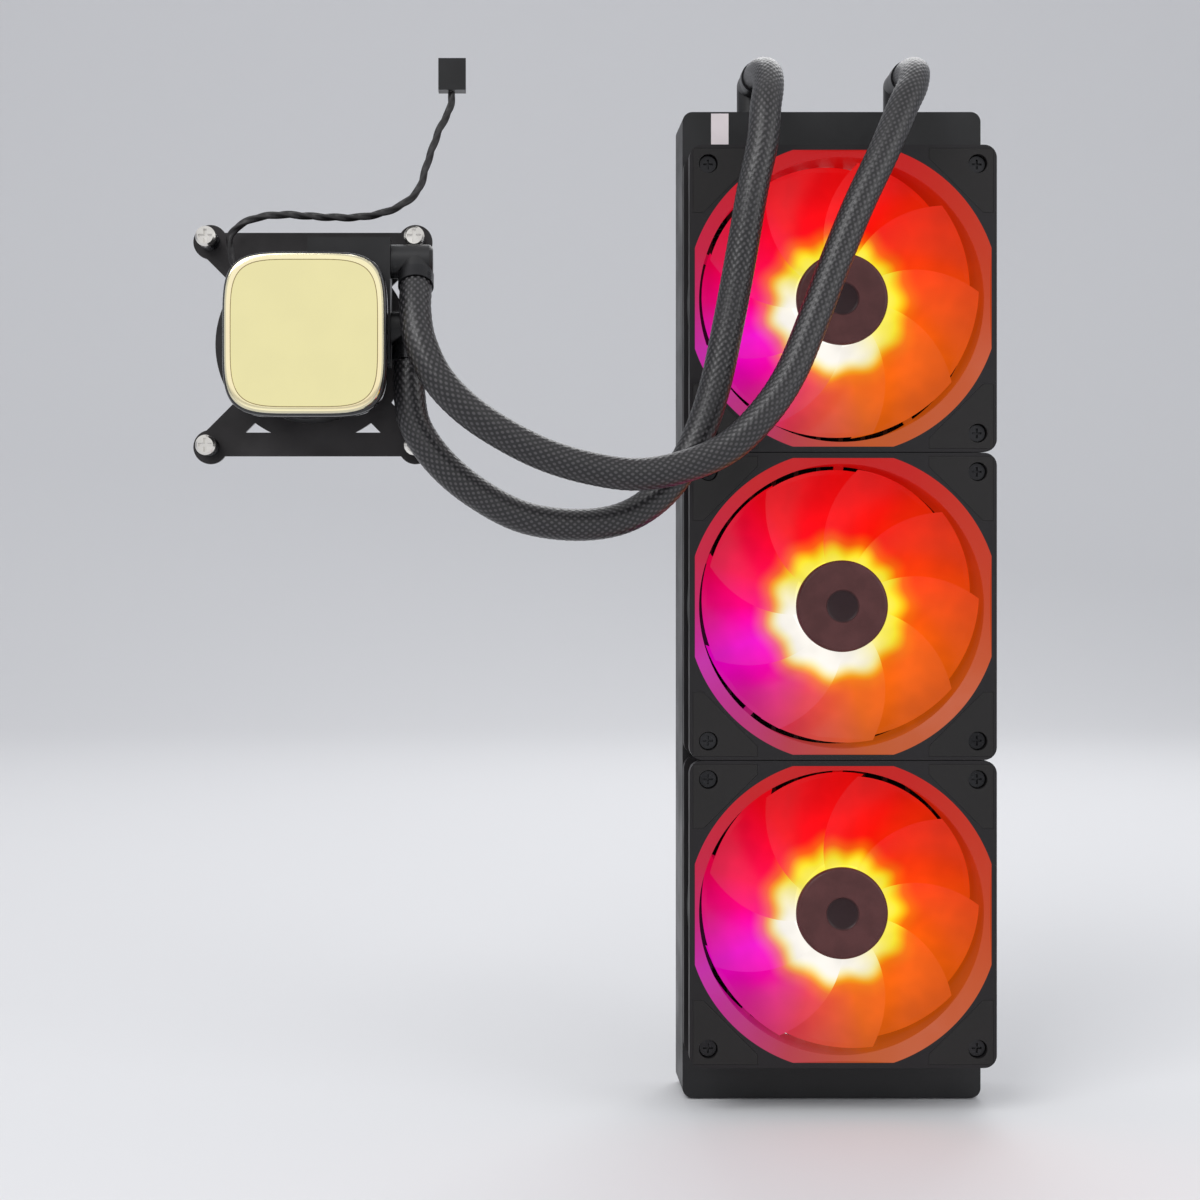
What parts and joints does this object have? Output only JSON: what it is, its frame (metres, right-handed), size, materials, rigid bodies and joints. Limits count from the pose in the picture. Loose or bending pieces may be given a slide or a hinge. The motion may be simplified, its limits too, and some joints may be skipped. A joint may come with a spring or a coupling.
{
  "type": "liquid cooling radiator",
  "caption": "Sealed liquid cooler: upright radiator with three lit axial fans, braided hoses and a square mirror-capped pump head on a spring-screw bracket.",
  "frame": {"origin": "centre of the radiator's back mounting face", "axes": "+Z along the radiator's length, +Y out of its back towards the case wall, -Y is the side the fans and the pump head face"},
  "size_m": [0.3105, 0.1138, 0.4171],
  "materials": {
    "radiator_black": "satin",
    "core_black": "satin",
    "fitting_black": "satin",
    "ferrule_black": "satin",
    "label_paper": "matte",
    "copper_wire": "gloss",
    "circuit_board": "satin",
    "bearing_bronze": "satin",
    "pad_rubber": "matte",
    "black_screw": "satin",
    "cold_plate_copper": "polished",
    "steel_screw": "satin",
    "housing_black": "satin",
    "volute_plastic": "matte",
    "ceramic_pin": "polished",
    "rotor_plastic": "satin",
    "light_guide": "satin",
    "mirror_cap": "mirror",
    "bracket_steel": "satin",
    "hose_braid": "braided sleeve",
    "cable_black": "satin",
    "fan_frame_black": "satin",
    "fan_blade_lit": "translucent, lit",
    "magnet_grey": "matte",
    "shaft_steel": "polished",
    "stator_steel": "satin",
    "bright_screw": "polished",
    "spring_black": "satin"
  },
  "bodies": {
    "root": {"side_rails": "radiator_black", "top_tank": "radiator_black", "bottom_tank": "radiator_black", "header_plates": "radiator_black", "core_tubes": "core_black", "core_fins": "core_black", "radiator_elbows": "fitting_black", "radiator_ferrules": "ferrule_black", "blank_label": "label_paper", "fan_top_frame": "fan_frame_black", "fan_top_stator": "stator_steel", "fan_middle_frame": "fan_frame_black", "fan_middle_stator": "stator_steel", "fan_bottom_frame": "fan_frame_black", "fan_bottom_stator": "stator_steel", "fan_coils": "copper_wire", "fan_boards": "circuit_board", "fan_bearings": "bearing_bronze", "fan_corner_pads": "pad_rubber", "fan_screws": "black_screw", "cold_plate": "cold_plate_copper", "cold_plate_seal": "pad_rubber", "cold_plate_screws": "steel_screw", "pump_housing": "housing_black", "pump_volute": "volute_plastic", "pump_pin": "ceramic_pin", "pump_stator": "copper_wire", "pump_board": "circuit_board", "light_ring": "light_guide", "cap_bezel": "housing_black", "mirror_glass": "mirror_cap", "bracket": "bracket_steel", "bracket_spring_1": "spring_black", "bracket_spring_2": "spring_black", "bracket_spring_3": "spring_black", "bracket_spring_4": "spring_black", "port_seals": "pad_rubber", "upper_hose": "hose_braid", "lower_hose": "hose_braid", "cable_gland": "fitting_black", "pump_cable": "cable_black", "cable_plug": "fitting_black"},
    "fan_top_rotor": {"fan_top_impeller": "fan_blade_lit", "fan_top_magnet_ring": "magnet_grey", "fan_top_shaft": "shaft_steel"},
    "fan_middle_rotor": {"fan_middle_impeller": "fan_blade_lit", "fan_middle_magnet_ring": "magnet_grey", "fan_middle_shaft": "shaft_steel"},
    "fan_bottom_rotor": {"fan_bottom_impeller": "fan_blade_lit", "fan_bottom_magnet_ring": "magnet_grey", "fan_bottom_shaft": "shaft_steel"},
    "pump_rotor": {"pump_impeller": "rotor_plastic"},
    "upper_swivel": {"upper_elbow": "fitting_black", "upper_ferrule": "ferrule_black"},
    "lower_swivel": {"lower_elbow": "fitting_black", "lower_ferrule": "ferrule_black"},
    "screw_1": {"bracket_screw_1": "bright_screw"},
    "screw_2": {"bracket_screw_2": "bright_screw"},
    "screw_3": {"bracket_screw_3": "bright_screw"},
    "screw_4": {"bracket_screw_4": "bright_screw"}
  },
  "joints": [
    {"name": "fan_top_spin", "type": "hinge", "parent": "root", "child": "fan_top_rotor", "pos_m": [0, -0.039, 0.12], "axis": [0, -1, 0], "continuous": true},
    {"name": "fan_middle_spin", "type": "hinge", "parent": "root", "child": "fan_middle_rotor", "pos_m": [0, -0.039, 0], "axis": [0, -1, 0], "continuous": true},
    {"name": "fan_bottom_spin", "type": "hinge", "parent": "root", "child": "fan_bottom_rotor", "pos_m": [0, -0.039, -0.12], "axis": [0, -1, 0], "continuous": true},
    {"name": "pump_spin", "type": "hinge", "parent": "root", "child": "pump_rotor", "pos_m": [-0.205, -0.072, 0.1], "axis": [0, -1, 0], "continuous": true},
    {"name": "upper_elbow_swivel", "type": "hinge", "parent": "root", "child": "upper_swivel", "pos_m": [-0.165, -0.085, 0.129], "axis": [1, 0, 0], "range_deg": [-10, 3], "deforming": ["upper_hose"]},
    {"name": "lower_elbow_swivel", "type": "hinge", "parent": "root", "child": "lower_swivel", "pos_m": [-0.1675, -0.085, 0.104], "axis": [1, 0, 0], "range_deg": [-8, 4], "deforming": ["lower_hose"]},
    {"name": "screw_1_press", "type": "slide", "parent": "root", "child": "screw_1", "axis": [0, 1, 0], "range_m": [0, 0.003], "stiffness_N_per_m": 2000, "deforming": ["bracket_spring_1"]},
    {"name": "screw_2_press", "type": "slide", "parent": "root", "child": "screw_2", "axis": [0, 1, 0], "range_m": [0, 0.003], "stiffness_N_per_m": 2000, "deforming": ["bracket_spring_2"]},
    {"name": "screw_3_press", "type": "slide", "parent": "root", "child": "screw_3", "axis": [0, 1, 0], "range_m": [0, 0.003], "stiffness_N_per_m": 2000, "deforming": ["bracket_spring_3"]},
    {"name": "screw_4_press", "type": "slide", "parent": "root", "child": "screw_4", "axis": [0, 1, 0], "range_m": [0, 0.003], "stiffness_N_per_m": 2000, "deforming": ["bracket_spring_4"]}
  ]
}
